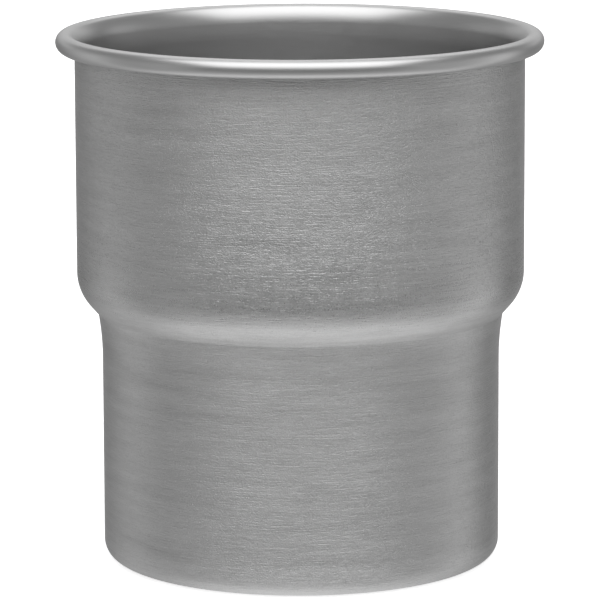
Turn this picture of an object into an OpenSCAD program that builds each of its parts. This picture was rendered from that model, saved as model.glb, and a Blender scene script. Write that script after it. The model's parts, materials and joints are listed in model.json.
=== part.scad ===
// Stepped steel shaving mug with a wired rim.
//
// The mug stands on the XY plane with its axis on Z. It is three pieces of steel: a wall sheet whose
// top edge is curled outwards, a pressed base pan welded to the foot of the wall, and a wire ring
// inside the curl. Every piece is a body of revolution, so each one is drawn as a half section.

/* [Mug] */
// Height from the table to the top of the rim
mug_h = 90; // [82:0.5:100]
// Outside diameter of the upper body
upper_d = 75.8; // [75:0.1:82]
// Outside diameter of the lower body
lower_d = 67.4; // [62:0.1:68]
// Thickness of the steel sheet
sheet_t = 0.6; // [0.5:0.05:0.7]

/* [Rolled rim] */
// Outside diameter of the round bead along the rim
bead_d = 3.2; // [2.8:0.1:4]
// Angle that the curl turns in towards the wall, past its lowest point
curl_close = 52; // [40:1:56]
// Angle that the bead stays round for on its inner side, from its top, before the gentler flare
bead_inner = 50; // [30:1:52]
// Clearance between the wire and the curl around it
wire_gap = 0.03; // [0.01:0.01:0.1]

/* [Shoulder] */
// Height of the top of the shoulder
shoulder_top = 49.3; // [46:0.1:54]
// Outside radius of the bend at the top of the shoulder
shoulder_r = 7.7; // [5:0.1:8]
// Slope of the shoulder's cone, in degrees from vertical
shoulder_slope = 41.4; // [38:0.2:44]
// Outside radius of the crease at the foot of the cone
crease_r = 0.8; // [0.7:0.1:1.4]
// Slope of the neck just below the crease, in degrees from vertical
neck_slope = 9.8; // [6:0.1:10]
// Outside radius of the long bend from the neck into the lower body
neck_r = 45; // [30:1:48]

/* [Base] */
// Outside radius of the corner between the lower body and the base
corner_r = 3; // [2:0.1:4]
// Height of the weld between the base pan and the wall
weld_h = 7.5; // [6:0.1:12]
// Width of the flat ring that the mug stands on
ring_w = 3; // [2:0.1:5]
// Height of the recessed base panel above the table, at its edge
recess_h = 1.6; // [1:0.1:2.5]
// Radius of the two bends between the standing ring and the panel
step_r = 2; // [1.5:0.1:3]
// Upward slope of the domed panel at its edge, in degrees
dome_slope = 2.4; // [1:0.1:5]

/* [Hidden] */
steel = [0.64, 0.65, 0.66];
wire_steel = [0.5, 0.51, 0.52];
$fn = 180;

// Largest angle that one straight stretch of a drawn bend may cover
bend_step = 6;
// Fewest straight stretches in a bend, for the long, shallow ones
bend_min = 6;
// Points closer than this are the same point
same_point = 0.001;

upper_r = upper_d / 2;
lower_r = lower_d / 2;
bead_r = bead_d / 2;
bead_axis_r = upper_r + bead_r;
bead_z = mug_h - bead_r;
wire_r = bead_r - sheet_t - wire_gap;

// Direction of an angle in the half section
function unit(angle) = [cos(angle), sin(angle)];

// A bend is an arc of the half section: its centre, its radius on the outside face of the mug, which
// side of the sheet that face is on, and its two angles. side is 1 where the outside face is the outer
// arc, and -1 where it is the inner one.
function bend(centre, radius, side, from, to) = [centre, radius, side, from, to];

// Points of a bend, at a depth below the outside face
function bend_points(bend, depth) =
    let (
        radius = bend[1] - bend[2] * depth,
        from = bend[3],
        turn = bend[4] - from,
        steps = max(bend_min, ceil(abs(turn) / bend_step))
    )
    [for (i = [0 : steps]) bend[0] + radius * unit(from + turn * i / steps)];

// The same points without repeats, where one bend runs straight into the next
function distinct(points) =
    [for (i = [0 : len(points) - 1]) if (i == 0 || norm(points[i] - points[i - 1]) > same_point) points[i]];

// One face of a sheet that runs through a list of bends
function face_points(bends, depth) = distinct([for (each_bend = bends) each bend_points(each_bend, depth)]);

// A list in the opposite order
function backwards(list) = [for (i = [len(list) - 1 : -1 : 0]) list[i]];

// Half section of a sheet of even thickness through a list of bends. The weld is a square edge on the
// upright wall of the lower body, at the sheet's first end or its last one.
module sheet_section(bends, weld_first) {
    weld_outside = [[lower_r, weld_h]];
    weld_inside = [[lower_r - sheet_t, weld_h]];
    outside = face_points(bends, 0);
    inside = backwards(face_points(bends, sheet_t));
    polygon(weld_first
        ? concat(weld_outside, outside, inside, weld_inside)
        : concat(outside, weld_outside, weld_inside, inside));
}

// Bends of the shoulder, from the lower body up
function shoulder_bends() =
    let (
        top_centre = [upper_r - shoulder_r, shoulder_top],
        cone_top = top_centre + shoulder_r * unit(-shoulder_slope),
        // Steps from the start of the neck to the two ends of the crease
        neck_step = neck_r * ([1, 0] + unit(180 - neck_slope)),
        crease_step = crease_r * (unit(180 - shoulder_slope) - unit(180 - neck_slope)),
        cone_run = cone_top.x - lower_r - neck_step.x - crease_step.x,
        cone_rise = cone_run / tan(shoulder_slope),
        neck_z = cone_top.y - cone_rise - crease_step.y - neck_step.y,
        neck_centre = [lower_r + neck_r, neck_z],
        crease_centre = neck_centre + (neck_r - crease_r) * unit(180 - neck_slope)
    )
    [
        bend(neck_centre, neck_r, -1, 180, 180 - neck_slope),
        bend(crease_centre, crease_r, -1, 180 - neck_slope, 180 - shoulder_slope),
        bend(top_centre, shoulder_r, 1, -shoulder_slope, 0)
    ];

// Bends of the rim: the flare out from the wall, then the curl over and round the wire
function rim_bends() =
    let (
        bead_centre = [bead_axis_r, bead_z],
        // The flare meets the curl at this angle, and is wider than it by what brings it to the wall
        meeting = 90 + bead_inner,
        flare_wider = sheet_t / (1 - sin(bead_inner)),
        flare_centre = bead_centre - flare_wider * unit(meeting)
    )
    [
        bend(flare_centre, bead_r + flare_wider - sheet_t, -1, 180, meeting),
        bend(bead_centre, bead_r - sheet_t, -1, meeting, -90 - curl_close)
    ];

// Bends of the base, from its centre out to the wall
function base_bends() =
    let (
        ring_edge_r = lower_r - corner_r - ring_w,
        // Both step bends turn by this angle, which lifts the panel by recess_h
        step_angle = acos(1 - recess_h / (2 * step_r)),
        ring_step_centre = [ring_edge_r, step_r],
        panel_step_centre = ring_step_centre - 2 * step_r * unit(90 - step_angle),
        panel_edge = panel_step_centre + step_r * unit(90 - dome_slope),
        dome_r = panel_edge.x / sin(dome_slope),
        dome_centre = [0, panel_edge.y - dome_r * cos(dome_slope)]
    )
    [
        bend(dome_centre, dome_r, -1, 90, 90 - dome_slope),
        bend(panel_step_centre, step_r, -1, 90 - dome_slope, 90 - step_angle),
        bend(ring_step_centre, step_r, 1, -90 - step_angle, -90),
        bend([lower_r - corner_r, corner_r], corner_r, 1, -90, 0)
    ];

// Wall sheet: lower body, shoulder, upper body and the open curl of the rim
module body_wall() {
    color(steel)
        rotate_extrude()
            sheet_section(concat(shoulder_bends(), rim_bends()), weld_first = true);
}

// Pressed base: domed panel, standing ring, rounded corner and a short skirt up to the weld
module base_pan() {
    color(steel)
        rotate_extrude()
            sheet_section(base_bends(), weld_first = false);
}

// Wire ring that the rim is curled round
module rim_wire() {
    color(wire_steel)
        rotate_extrude()
            translate([bead_axis_r, bead_z])
                circle(r = wire_r);
}

body_wall();
base_pan();
rim_wire();
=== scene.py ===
"""Looks of the stepped steel shaving mug: smooth sheet pieces round the CAD frame, brushed steel, studio.

Every sheet piece is a body of revolution. Its half section is a list of bends (arcs) joined by straight
stretches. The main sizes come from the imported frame's node boxes and stated mounts, and those of the
bends are named below, as in the part's source.
"""

import json
import math

import bpy
from mathutils import Matrix, Vector


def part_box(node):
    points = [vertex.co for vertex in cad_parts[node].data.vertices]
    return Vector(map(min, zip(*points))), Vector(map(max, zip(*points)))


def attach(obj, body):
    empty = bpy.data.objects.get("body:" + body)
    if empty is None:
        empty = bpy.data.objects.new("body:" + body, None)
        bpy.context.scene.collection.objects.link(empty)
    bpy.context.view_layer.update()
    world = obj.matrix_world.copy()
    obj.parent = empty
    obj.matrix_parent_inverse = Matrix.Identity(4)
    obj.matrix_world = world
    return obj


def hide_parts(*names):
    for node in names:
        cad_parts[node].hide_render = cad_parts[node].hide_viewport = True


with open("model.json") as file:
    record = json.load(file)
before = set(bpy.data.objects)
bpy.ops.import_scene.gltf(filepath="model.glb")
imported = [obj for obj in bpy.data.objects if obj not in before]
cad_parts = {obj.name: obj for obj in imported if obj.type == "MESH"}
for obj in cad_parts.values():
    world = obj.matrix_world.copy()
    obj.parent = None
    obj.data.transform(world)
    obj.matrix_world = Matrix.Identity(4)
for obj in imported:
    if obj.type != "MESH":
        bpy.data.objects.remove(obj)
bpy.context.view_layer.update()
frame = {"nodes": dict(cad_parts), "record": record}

MM = 0.001

# Sizes that the frame states
mounts = {mount["name"]: mount for mount in frame["record"]["mounts"]}
wall_low, wall_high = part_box("body_wall")
RIM_R = wall_high.x
TOP_Z = wall_high.z
WELD_Z = wall_low.z
LOWER_R = mounts["holder_foot"]["dims"]["r_mm"] * MM
INNER_R = mounts["mouth"]["dims"]["r_mm"] * MM
STANDING_R = mounts["standing_ring"]["pos_m"][0]

# The sheet and its bends. Slopes and the bead's two angles are in degrees.
SHEET_T = 0.6 * MM
UPPER_R = INNER_R + SHEET_T
BEAD_R = (RIM_R - UPPER_R) / 2
BEAD_AXIS_R = RIM_R - BEAD_R
BEAD_Z = TOP_Z - BEAD_R
BEAD_INNER = 50
CURL_CLOSE = 52
SHOULDER_TOP = 49.3 * MM
SHOULDER_R = 7.7 * MM
SHOULDER_SLOPE = 41.4
CREASE_R = 0.8 * MM
NECK_SLOPE = 9.8
NECK_R = 45.0 * MM
CORNER_R = 3.0 * MM
RING_W = 3.0 * MM
RECESS_H = 1.6 * MM
STEP_R = 2.0 * MM
DOME_SLOPE = 2.4

# Fineness of the meshes. Angles are in degrees.
SEGMENTS = 288
BEND_STEP = 2.5
FEWEST_STEPS = 6
STRAIGHT_STEP = 1.5 * MM
SAME_POINT = 1e-7
SHARP_ANGLE = 40


# ---------------------------------------------------------------- half sections

def unit(angle):
    """Direction of an angle, in degrees, in the half section."""
    return Vector((math.cos(math.radians(angle)), math.sin(math.radians(angle))))


def bend(centre, radius, side, start, end):
    """An arc of the half section. side is 1 if the outside face is the outer arc, -1 if the inner one."""
    return {"centre": Vector(centre), "radius": radius, "side": side, "start": start, "end": end}


def bend_points(arc, depth):
    """Points of a bend, at a depth below the outside face."""
    radius = arc["radius"] - arc["side"] * depth
    turn = arc["end"] - arc["start"]
    steps = max(FEWEST_STEPS, math.ceil(abs(turn) / BEND_STEP))
    return [arc["centre"] + radius * unit(arc["start"] + turn * i / steps) for i in range(steps + 1)]


def shoulder_bends():
    """Bends of the shoulder, from the lower body up."""
    top_centre = Vector((UPPER_R - SHOULDER_R, SHOULDER_TOP))
    cone_top = top_centre + SHOULDER_R * unit(-SHOULDER_SLOPE)
    neck_step = NECK_R * (Vector((1, 0)) + unit(180 - NECK_SLOPE))
    crease_step = CREASE_R * (unit(180 - SHOULDER_SLOPE) - unit(180 - NECK_SLOPE))
    cone_run = cone_top.x - LOWER_R - neck_step.x - crease_step.x
    cone_rise = cone_run / math.tan(math.radians(SHOULDER_SLOPE))
    neck_z = cone_top.y - cone_rise - crease_step.y - neck_step.y
    neck_centre = Vector((LOWER_R + NECK_R, neck_z))
    crease_centre = neck_centre + (NECK_R - CREASE_R) * unit(180 - NECK_SLOPE)
    return [
        bend(neck_centre, NECK_R, -1, 180, 180 - NECK_SLOPE),
        bend(crease_centre, CREASE_R, -1, 180 - NECK_SLOPE, 180 - SHOULDER_SLOPE),
        bend(top_centre, SHOULDER_R, 1, -SHOULDER_SLOPE, 0),
    ]


def rim_bends():
    """Bends of the rim: the flare out from the wall, then the curl over and round the wire."""
    bead_centre = Vector((BEAD_AXIS_R, BEAD_Z))
    meeting = 90 + BEAD_INNER
    flare_wider = SHEET_T / (1 - math.sin(math.radians(BEAD_INNER)))
    flare_centre = bead_centre - flare_wider * unit(meeting)
    return [
        bend(flare_centre, BEAD_R + flare_wider - SHEET_T, -1, 180, meeting),
        bend(bead_centre, BEAD_R - SHEET_T, -1, meeting, -90 - CURL_CLOSE),
    ]


def base_bends():
    """Bends of the base, from its centre out to the wall."""
    ring_edge_r = LOWER_R - CORNER_R - RING_W
    step_angle = math.degrees(math.acos(1 - RECESS_H / (2 * STEP_R)))
    ring_step_centre = Vector((ring_edge_r, STEP_R))
    panel_step_centre = ring_step_centre - 2 * STEP_R * unit(90 - step_angle)
    panel_edge = panel_step_centre + STEP_R * unit(90 - DOME_SLOPE)
    dome_r = panel_edge.x / math.sin(math.radians(DOME_SLOPE))
    dome_centre = Vector((0, panel_edge.y - dome_r * math.cos(math.radians(DOME_SLOPE))))
    return [
        bend(dome_centre, dome_r, -1, 90, 90 - DOME_SLOPE),
        bend(panel_step_centre, STEP_R, -1, 90 - DOME_SLOPE, 90 - step_angle),
        bend(ring_step_centre, STEP_R, 1, -90 - step_angle, -90),
        bend((LOWER_R - CORNER_R, CORNER_R), CORNER_R, 1, -90, 0),
    ]


def face_line(bends, depth, weld_first):
    """Evenly filled points along one face of a sheet. Its weld end comes first or last."""
    corners = [point for arc in bends for point in bend_points(arc, depth)]
    corners.insert(0 if weld_first else len(corners), Vector((LOWER_R - depth, WELD_Z)))
    line = [corners[0]]
    for corner in corners[1:]:
        start = line[-1]
        gap = (corner - start).length
        if gap < SAME_POINT:
            continue
        steps = math.ceil(gap / STRAIGHT_STEP)
        line += [start.lerp(corner, i / steps) for i in range(1, steps + 1)]
    return line


# ---------------------------------------------------------------- meshes

# The finishes, as places in each sheet's list of materials. The first two also name its faces.
OUTSIDE, INSIDE, UNDER = range(3)

# Heights at which polish begins on the mouth's side of the bead, and is full on both sides
POLISH_START = TOP_Z - 3.2 * MM
POLISH_FULL = BEAD_Z + BEAD_R / 2


def finish_of(point, face):
    """Finish of a sheet's face at a point: brushed outside, satin inside or pressed under the base."""
    if face == INSIDE:
        return INSIDE
    return UNDER if point.x < STANDING_R and point.y < WELD_Z else OUTSIDE


def polish_at(point):
    """How far the sheet is polished at a section point: fully at the bead's top, less down both sides."""
    start = BEAD_Z - BEAD_R if point.x > UPPER_R else POLISH_START
    rise = min(1.0, max(0.0, (point.y - start) / (POLISH_FULL - start)))
    return rise * rise * (3 - 2 * rise)


def section_loop(bends, weld_first):
    """The closed half section, as (point, face, distance along it), which is 0 at the outside weld."""
    outside = face_line(bends, 0, weld_first)
    inside = face_line(bends, SHEET_T, weld_first)
    points = [(point, OUTSIDE) for point in outside] + [(point, INSIDE) for point in reversed(inside)]
    along = 0.0 if weld_first else -sum((b - a).length for a, b in zip(outside, outside[1:]))
    loop = []
    before = outside[0]
    for point, face in points:
        along += (point - before).length
        before = point
        loop.append((point, face, along))
    return loop


def ring(mesh_points, point):
    """Adds the vertices of a half-section point swept round the axis, and gives their numbers."""
    first = len(mesh_points)
    if point.x < SAME_POINT:
        mesh_points.append((0.0, 0.0, point.y))
        return [first] * SEGMENTS
    for i in range(SEGMENTS):
        turn = 2 * math.pi * i / SEGMENTS
        mesh_points.append((point.x * math.cos(turn), point.x * math.sin(turn), point.y))
    return list(range(first, first + SEGMENTS))


def swept_points(loop):
    """The vertices of a swept loop, each loop point's ring of them, and their values for the materials."""
    mesh_points, rings = [], []
    values = {"along": [], "polish": []}
    for point, _, along in loop:
        before = len(mesh_points)
        rings.append(ring(mesh_points, point))
        added = len(mesh_points) - before
        values["along"] += [along] * added
        values["polish"] += [polish_at(point)] * added
    return mesh_points, rings, values


def swept_faces(loop, rings):
    """The faces from each ring of a closed loop to the next, and the finish of each face."""
    faces, finishes = [], []
    for k, (point, face, _) in enumerate(loop):
        following = (k + 1) % len(loop)
        next_point, next_face, _ = loop[following]
        if max(point.x, next_point.x) < SAME_POINT:
            continue
        finish = finish_of((point + next_point) / 2, max(face, next_face))
        for i in range(SEGMENTS):
            j = (i + 1) % SEGMENTS
            corners = (rings[k][i], rings[k][j], rings[following][j], rings[following][i])
            faces.append(tuple(dict.fromkeys(corners)))
            finishes.append(finish)
    return faces, finishes


def sheet_piece(name, bends, weld_first):
    """A sheet of steel turned about Z, as one closed mesh with "along" and "polish" on its vertices."""
    loop = section_loop(bends, weld_first)
    mesh_points, rings, values = swept_points(loop)
    faces, finishes = swept_faces(loop, rings)
    mesh = bpy.data.meshes.new(name)
    mesh.from_pydata(mesh_points, [], faces)
    mesh.polygons.foreach_set("material_index", finishes)
    mesh.polygons.foreach_set("use_smooth", [True] * len(faces))
    for value_name, numbers in values.items():
        mesh.attributes.new(value_name, "FLOAT", "POINT").data.foreach_set("value", numbers)
    mesh.update()
    mesh.set_sharp_from_angle(angle=math.radians(SHARP_ANGLE))
    piece = bpy.data.objects.new(name, mesh)
    bpy.context.scene.collection.objects.link(piece)
    return piece


# ---------------------------------------------------------------- node trees

class Nodes:
    """Short helpers for building one node tree. Values are numbers or other nodes' outputs."""

    def __init__(self, tree):
        """Works on the given node tree."""
        self.tree = tree

    def add(self, kind, **settings):
        """A new node of a kind, with its settings."""
        node = self.tree.nodes.new(kind)
        for key, value in settings.items():
            setattr(node, key, value)
        return node

    def put(self, socket, value):
        """Sets a socket to a number or vector, or links an output to it."""
        if isinstance(value, bpy.types.NodeSocket):
            self.tree.links.new(value, socket)
        else:
            socket.default_value = value

    def maths(self, operation, *values):
        """The result of a maths node's operation on the values."""
        node = self.add("ShaderNodeMath", operation=operation)
        for socket, value in zip(node.inputs, values):
            self.put(socket, value)
        return node.outputs[0]

    def span(self, value, low, high, start=0.0, end=1.0, smooth=False):
        """value, from start..end, spread to low..high."""
        node = self.add("ShaderNodeMapRange", interpolation_type="SMOOTHSTEP" if smooth else "LINEAR")
        for name, number in (("Value", value), ("From Min", start), ("From Max", end),
                             ("To Min", low), ("To Max", high)):
            self.put(node.inputs[name], number)
        return node.outputs["Result"]

    def mix(self, factor, low, high):
        """low where factor is 0, high where it is 1."""
        node = self.add("ShaderNodeMix", data_type="FLOAT")
        self.put(node.inputs[0], factor)
        self.put(node.inputs[2], low)
        self.put(node.inputs[3], high)
        return node.outputs[0]

    def ramp(self, value, stops):
        """The result for value, read off between (value, result) stops that run upwards."""
        first, last = stops[0][0], stops[-1][0]
        node = self.add("ShaderNodeValToRGB")
        elements = node.color_ramp.elements
        while len(elements) < len(stops):
            elements.new(0.5)  # moved to its place below
        for element, (place, result) in zip(elements, stops):
            element.position = (place - first) / (last - first)
            element.color = (result, result, result, 1)
        self.put(node.inputs[0], self.span(value, 0.0, 1.0, start=first, end=last))
        return node.outputs[0]

    def attribute(self, name):
        """A value that a mesh keeps on its vertices."""
        return self.add("ShaderNodeAttribute", attribute_name=name).outputs["Fac"]

    def place(self, space="Object"):
        """x, y and z of the shaded point, or of the direction seen when space is a world's "Generated"."""
        parts = self.add("ShaderNodeSeparateXYZ")
        self.put(parts.inputs[0], self.add("ShaderNodeTexCoord").outputs[space])
        return parts.outputs

    def grey(self, value):
        """A colour with all three channels at value."""
        node = self.add("ShaderNodeCombineColor")
        for socket in node.inputs[:3]:
            self.put(socket, value)
        return node.outputs[0]

    def lines(self, across, size, detail):
        """Noise drawn out into lines of a (length round the axis, width across it) size."""
        length, width = size
        x, y, _ = self.place()
        where = self.add("ShaderNodeCombineXYZ")
        self.put(where.inputs[0], self.maths("DIVIDE", x, length))
        self.put(where.inputs[1], self.maths("DIVIDE", y, length))
        self.put(where.inputs[2], self.maths("DIVIDE", across, width))
        node = self.add("ShaderNodeTexNoise")
        self.put(node.inputs["Vector"], where.outputs[0])
        self.put(node.inputs["Scale"], 1.0)
        self.put(node.inputs["Detail"], detail)
        return node.outputs["Fac"]

    def bump(self, height, distance, strength=1.0, below=None):
        """Normal bent by a height map, laid over another bump's normal where one is given."""
        node = self.add("ShaderNodeBump")
        if below is not None:
            self.put(node.inputs["Normal"], below)
        self.put(node.inputs["Height"], height)
        self.put(node.inputs["Distance"], distance)
        self.put(node.inputs["Strength"], strength)
        return node.outputs["Normal"]


# ---------------------------------------------------------------- materials

# A quarter turn of the tangent, which spreads reflections across the brushing, up and down the mug
ACROSS_BRUSHING = 0.25

# The brushing: the (length, width) of each kind of scratch and its share of the grain
SCRATCHES = [
    ((0.28 * MM, 0.17 * MM), 0.44),
    ((2.2 * MM, 0.20 * MM), 0.40),
    ((12.0 * MM, 0.24 * MM), 0.28),
]
SCRATCH_DETAIL = 1.0

# Scratches wander off their ring by up to this much, over patches of this size
WANDER = 0.1 * MM
WANDER_SIZE = (9 * MM, 6 * MM)

# Broad bands of lighter and darker steel, and their share of its tone
BANDS_SIZE = (16.0 * MM, 1.8 * MM)
BANDS_DETAIL = 2.0
BANDS_SHARE = 0.3

# Values that noise and the grain mostly take
NOISE_SPAN = {"start": 0.3, "end": 0.7}
GRAIN_SPAN = {"start": 0.4, "end": 0.72}

# Share by which the grain raises or lowers the roughness
ROUGHNESS_VARIES = 0.15

# Heights half way down the shoulder and at its foot
SHOULDER_MIDDLE = 46.0 * MM
SHOULDER_FOOT = 43.8 * MM

# Painted sheen and shade, as (height, factor of brightness). The base's corner and the shoulder's foot are
# painted lighter where they reflect the floor, and the wall above the shoulder is painted darker where
# less overhead light reaches it.
PAINTED_SHEEN_AND_SHADE = [
    (0.0, 1.20), (CORNER_R, 1.16), (2 * CORNER_R, 1.02), (SHOULDER_FOOT - 6 * MM, 1.02),
    (SHOULDER_FOOT - 0.7 * MM, 1.14), (SHOULDER_FOOT, 1.26), (SHOULDER_MIDDLE, 1.13),
    (SHOULDER_TOP, 0.92), (SHOULDER_TOP + 15 * MM, 0.97), (TOP_Z, 1.0),
]

# Spread of the brushing's reflections, as (height, factor)
SPREAD = [
    (0.0, 1.02), (SHOULDER_FOOT - 2 * MM, 1.02), (SHOULDER_MIDDLE, 0.82), (SHOULDER_TOP, 0.77),
    (SHOULDER_TOP + 20 * MM, 0.96), (TOP_Z, 1.0),
]

# Depth of the brushing's grain, as (height, factor)
DEPTH = [
    (0.0, 0.65), (SHOULDER_FOOT - 2 * MM, 0.65), (SHOULDER_MIDDLE, 0.36), (SHOULDER_TOP, 0.52),
    (SHOULDER_TOP + 8 * MM, 0.84), (TOP_Z, 0.95),
]

# The inside of the wall is shaded as if it leaned out towards the flare, from this height to full polish
LEAN_START = TOP_Z - 6 * MM

# The polished bead. depth is the share of the grain's depth that polishing leaves.
POLISHED = {"grey": 0.59, "roughness": 0.34, "anisotropy": 0.5, "depth": 0.22}

# Drawn wire: its die lines, and the range that they give its grey and its roughness
DIE_LINES_SIZE = (20 * MM, 0.1 * MM)
DIE_LINES_DETAIL = 2.0
DIE_LINES_DEPTH = 0.01 * MM
WIRE_GREY = (0.35, 0.6)
WIRE_ROUGHNESS = (0.25, 0.45)


def metal(name):
    """A new metal material with a tangent that runs round Z, as (material, nodes, shader)."""
    material = bpy.data.materials.new(name)
    material.use_nodes = True
    n = Nodes(material.node_tree)
    shader = material.node_tree.nodes["Principled BSDF"]
    tangent = n.add("ShaderNodeTangent", direction_type="RADIAL", axis="Z")
    n.put(shader.inputs["Metallic"], 1.0)
    n.put(shader.inputs["Tangent"], tangent.outputs[0])
    n.put(shader.inputs["Anisotropic Rotation"], ACROSS_BRUSHING)
    return material, n, shader


def brushing(n):
    """The brushing's grain and, with broad bands mixed in, its tone."""
    along = n.attribute("along")
    wander = n.lines(along, WANDER_SIZE, detail=0.0)
    across = n.maths("MULTIPLY_ADD", wander, WANDER, along)
    grain = 0.0
    for size, share in SCRATCHES:
        scratches = n.lines(across, size, SCRATCH_DETAIL)
        grain = n.maths("MULTIPLY_ADD", scratches, share, grain)
    bands = n.lines(across, BANDS_SIZE, BANDS_DETAIL)
    grain_tone = n.maths("MULTIPLY", grain, 1 - BANDS_SHARE)
    return grain, n.maths("MULTIPLY_ADD", bands, BANDS_SHARE, grain_tone)


def sheet_steel(name, grey, roughness, anisotropy, streak, grain_depth, lean_out=0.0):
    """Sheet steel brushed round the axis, which turns into polished steel where "polish" is 1.

    streak is the share by which the brushing lightens and darkens the steel. lean_out is how far its
    shading lets it lean out where the wall runs into the flare.
    """
    material, n, shader = metal(name)
    z = n.place()[2]
    polish = n.attribute("polish")
    grain, tone = brushing(n)
    # Painted sheen and shade by height: lighter grey at the base's corner and the shoulder's foot for the
    # floor's reflection, darker above the shoulder for less overhead light
    sheen_and_shade_grey = n.ramp(z, [(height, grey * factor) for height, factor in PAINTED_SHEEN_AND_SHADE])
    brushed_sheen_grey = n.maths("MULTIPLY", sheen_and_shade_grey, n.span(tone, 1 - streak, 1 + streak, **NOISE_SPAN))
    spread = n.ramp(z, [(height, roughness * factor) for height, factor in SPREAD])
    varying = n.span(grain, 1 - ROUGHNESS_VARIES, 1 + ROUGHNESS_VARIES, **GRAIN_SPAN)
    brushed_roughness = n.maths("MULTIPLY", spread, varying)
    n.put(shader.inputs["Base Color"], n.grey(n.mix(polish, brushed_sheen_grey, POLISHED["grey"])))
    n.put(shader.inputs["Roughness"], n.mix(polish, brushed_roughness, POLISHED["roughness"]))
    n.put(shader.inputs["Anisotropic"], n.mix(polish, anisotropy, POLISHED["anisotropy"]))
    lean = n.span(z, 1.0, 0.0, start=LEAN_START, end=POLISH_FULL, smooth=True)
    strength = n.maths("MULTIPLY", n.ramp(z, DEPTH), n.span(polish, 1.0, POLISHED["depth"]))
    normal = n.bump(grain, grain_depth, strength, below=n.bump(lean, lean_out))
    n.put(shader.inputs["Normal"], normal)
    return material


def wire_steel():
    """Drawn wire, with die lines along the wire."""
    material, n, shader = metal("drawn_wire")
    x, y, z = n.place()
    radius = n.maths("SQRT", n.maths("ADD", n.maths("MULTIPLY", x, x), n.maths("MULTIPLY", y, y)))
    die_lines = n.lines(n.maths("ADD", radius, z), DIE_LINES_SIZE, DIE_LINES_DETAIL)
    n.put(shader.inputs["Base Color"], n.grey(n.span(die_lines, *WIRE_GREY, **NOISE_SPAN)))
    n.put(shader.inputs["Roughness"], n.span(die_lines, *WIRE_ROUGHNESS, **NOISE_SPAN))
    n.put(shader.inputs["Normal"], n.bump(die_lines, DIE_LINES_DEPTH))
    return material


# ---------------------------------------------------------------- studio

# The floor, which lies just under the mug
FLOOR_SIZE = 3.2
FLOOR_DROP = 0.02 * MM
FLOOR_GREY = 0.9
FLOOR_ROUGHNESS = 0.7
FLOOR_GLOW = 0.6

# Brightness of the studio's walls, as (heading, brightness). A heading is in degrees from the camera,
# negative to its left. The walls make the upright light and dark bands that the steel shows.
WALLS = [
    (-180, 0.40), (-152, 0.20), (-128, 0.50), (-111, 0.70), (-98, 0.42), (-86, 0.40), (-65, 0.50),
    (-56, 0.42), (-45, 0.16), (0, 0.12), (29, 0.15), (45, 0.22), (58, 0.50), (70, 0.48), (86, 0.50),
    (98, 0.64), (111, 0.92), (128, 0.25), (152, 0.30), (180, 0.40),
]

# Brightness of the floor and ceiling, and the rises, as sines, at which each starts and is full
FLOOR_NEAR = {"light": 1.24, "start": -0.62, "full": -1.0}
FLOOR_FAR = {"light": 0.40, "start": 0.0, "full": -0.4}
CEILING = {"light": 0.28, "start": 0.1, "full": 0.5}

# Overhead softboxes: brightness, reach to either side as a sine, and the front and back edges and the
# softness of each, in degrees measured over the top from the level of the camera
KEY_BOX = {"light": 1.65, "reach": 0.63, "front": 31, "front_soft": 18, "back": 97, "back_soft": 10}
BACK_BOX = {"light": 0.8, "reach": 0.42, "front": 113, "front_soft": 8, "back": 154, "back_soft": 8}
BACKDROP = {"light": 0.36, "reach": 0.65, "front": 160, "front_soft": 6, "back": 174, "back_soft": 4}
REACH_SOFT = 0.07

# What the camera sees in place of the studio
BACKGROUND_LIGHT = 1.0

# Camera, at the photograph's viewing angle. Angles are in degrees, lens and sensor in millimetres.
CAMERA_ELEVATION = 10.34
CAMERA_DISTANCE = 0.7576
CAMERA_AIM_Z = 0.0439
CAMERA_LENS = 267.45
CAMERA_SENSOR = 36
CAMERA_ROLL = -0.193
CAMERA_SHIFT = -0.00109
CAMERA_NEAREST = 0.05
CAMERA_FARTHEST = 20


def make_floor():
    """Pale light table. It is clear from below, and the steel reflects the studio's own floor light."""
    bpy.ops.mesh.primitive_plane_add(size=FLOOR_SIZE, location=(0, 0, -FLOOR_DROP))
    floor = bpy.context.object
    floor.name = "floor"
    material = bpy.data.materials.new("pale_floor")
    material.use_nodes = True
    n = Nodes(material.node_tree)
    shader = material.node_tree.nodes["Principled BSDF"]
    n.put(shader.inputs["Base Color"], (FLOOR_GREY, FLOOR_GREY, FLOOR_GREY, 1))
    n.put(shader.inputs["Roughness"], FLOOR_ROUGHNESS)
    n.put(shader.inputs["Emission Color"], (1, 1, 1, 1))
    n.put(shader.inputs["Emission Strength"], FLOOR_GLOW)
    sides = n.add("ShaderNodeMixShader")
    n.put(sides.inputs[0], n.add("ShaderNodeNewGeometry").outputs["Backfacing"])
    n.put(sides.inputs[1], shader.outputs[0])
    n.put(sides.inputs[2], n.add("ShaderNodeBsdfTransparent").outputs[0])
    n.put(material.node_tree.nodes["Material Output"].inputs["Surface"], sides.outputs[0])
    floor.data.materials.append(material)
    floor.visible_glossy = False


def softbox(n, direction, box):
    """Light of one overhead softbox in a direction."""
    x, y, z = direction
    over = n.maths("ARCTAN2", z, n.maths("MULTIPLY", y, -1.0))
    front, back = (math.radians(box[edge]) for edge in ("front", "back"))
    front_soft, back_soft = (math.radians(box[edge]) for edge in ("front_soft", "back_soft"))
    opens = n.span(over, 0.0, 1.0, start=front - front_soft, end=front + front_soft, smooth=True)
    closes = n.span(over, 1.0, 0.0, start=back - back_soft, end=back + back_soft, smooth=True)
    side = n.span(n.maths("ABSOLUTE", x), box["light"], 0.0, start=box["reach"] - REACH_SOFT,
                  end=box["reach"] + REACH_SOFT, smooth=True)
    return n.maths("MULTIPLY", n.maths("MULTIPLY", opens, closes), side)


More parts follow.
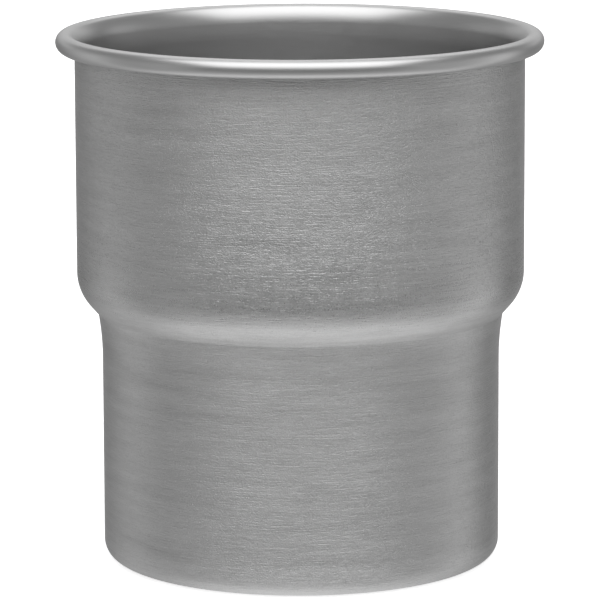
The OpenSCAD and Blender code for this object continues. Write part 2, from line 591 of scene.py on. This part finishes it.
def room(n, direction):
    """Light of the studio's walls, floor and ceiling in a direction."""
    x, y, z = direction
    heading = n.maths("ARCTAN2", x, n.maths("MULTIPLY", y, -1.0))
    walls = n.ramp(n.maths("DEGREES", heading), WALLS)
    far = n.span(z, 0.0, FLOOR_FAR["light"], start=FLOOR_FAR["start"], end=FLOOR_FAR["full"])
    near = n.span(z, 0.0, 1.0, start=FLOOR_NEAR["start"], end=FLOOR_NEAR["full"], smooth=True)
    above = n.span(z, 0.0, 1.0, start=CEILING["start"], end=CEILING["full"], smooth=True)
    with_floor = n.mix(near, n.maths("MAXIMUM", walls, far), FLOOR_NEAR["light"])
    return n.mix(above, with_floor, CEILING["light"])


def make_world():
    """The studio that lights the mug and shows in its steel. The camera sees plain white in its place."""
    world = bpy.data.worlds.new("studio")
    world.use_nodes = True
    bpy.context.scene.world = world
    n = Nodes(world.node_tree)
    direction = n.place("Generated")
    light = room(n, direction)
    for box in (KEY_BOX, BACK_BOX, BACKDROP):
        light = n.maths("ADD", light, softbox(n, direction, box))
    for_camera = n.add("ShaderNodeLightPath").outputs["Is Camera Ray"]
    background = world.node_tree.nodes["Background"]
    n.put(background.inputs["Strength"], n.mix(for_camera, light, BACKGROUND_LIGHT))
    n.put(background.inputs["Color"], (1, 1, 1, 1))


def make_camera():
    """The scene's camera, aimed at the mug's axis from the front."""
    data = bpy.data.cameras.new("camera")
    data.sensor_width = CAMERA_SENSOR
    data.lens = CAMERA_LENS
    data.shift_x = CAMERA_SHIFT
    data.clip_start = CAMERA_NEAREST
    data.clip_end = CAMERA_FARTHEST
    camera = bpy.data.objects.new("camera", data)
    rise = math.radians(CAMERA_ELEVATION)
    back = Vector((0, -math.cos(rise), math.sin(rise)))
    camera.location = Vector((0, 0, CAMERA_AIM_Z)) + back * CAMERA_DISTANCE
    aim = back.to_track_quat("Z", "Y").to_matrix().to_4x4()
    camera.rotation_euler = (aim @ Matrix.Rotation(math.radians(CAMERA_ROLL), 4, "Z")).to_euler()
    bpy.context.scene.collection.objects.link(camera)
    bpy.context.scene.camera = camera


# ---------------------------------------------------------------- the mug in its studio

# In the order of OUTSIDE, INSIDE and UNDER
finishes = [
    sheet_steel("brushed_outside", grey=0.54, roughness=0.375, anisotropy=0.95, streak=0.20,
                grain_depth=0.30 * MM),
    sheet_steel("satin_inside", grey=0.52, roughness=0.37, anisotropy=0.60, streak=0.03,
                grain_depth=0.01 * MM, lean_out=0.24 * MM),
    sheet_steel("pressed_under", grey=0.52, roughness=0.35, anisotropy=0.60, streak=0.04,
                grain_depth=0.01 * MM),
]
pieces = {
    "body_wall": sheet_piece("wall_sheet", shoulder_bends() + rim_bends(), weld_first=True),
    "base_pan": sheet_piece("base_sheet", base_bends(), weld_first=False),
}
for node, piece in pieces.items():
    for finish in finishes:
        piece.data.materials.append(finish)
    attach(piece, "root")
    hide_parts(node)

drawn_wire = wire_steel()
for slot in frame["nodes"]["rim_wire"].material_slots:
    slot.material = drawn_wire

make_floor()
make_world()
make_camera()
bpy.context.scene.view_settings.view_transform = "Standard"
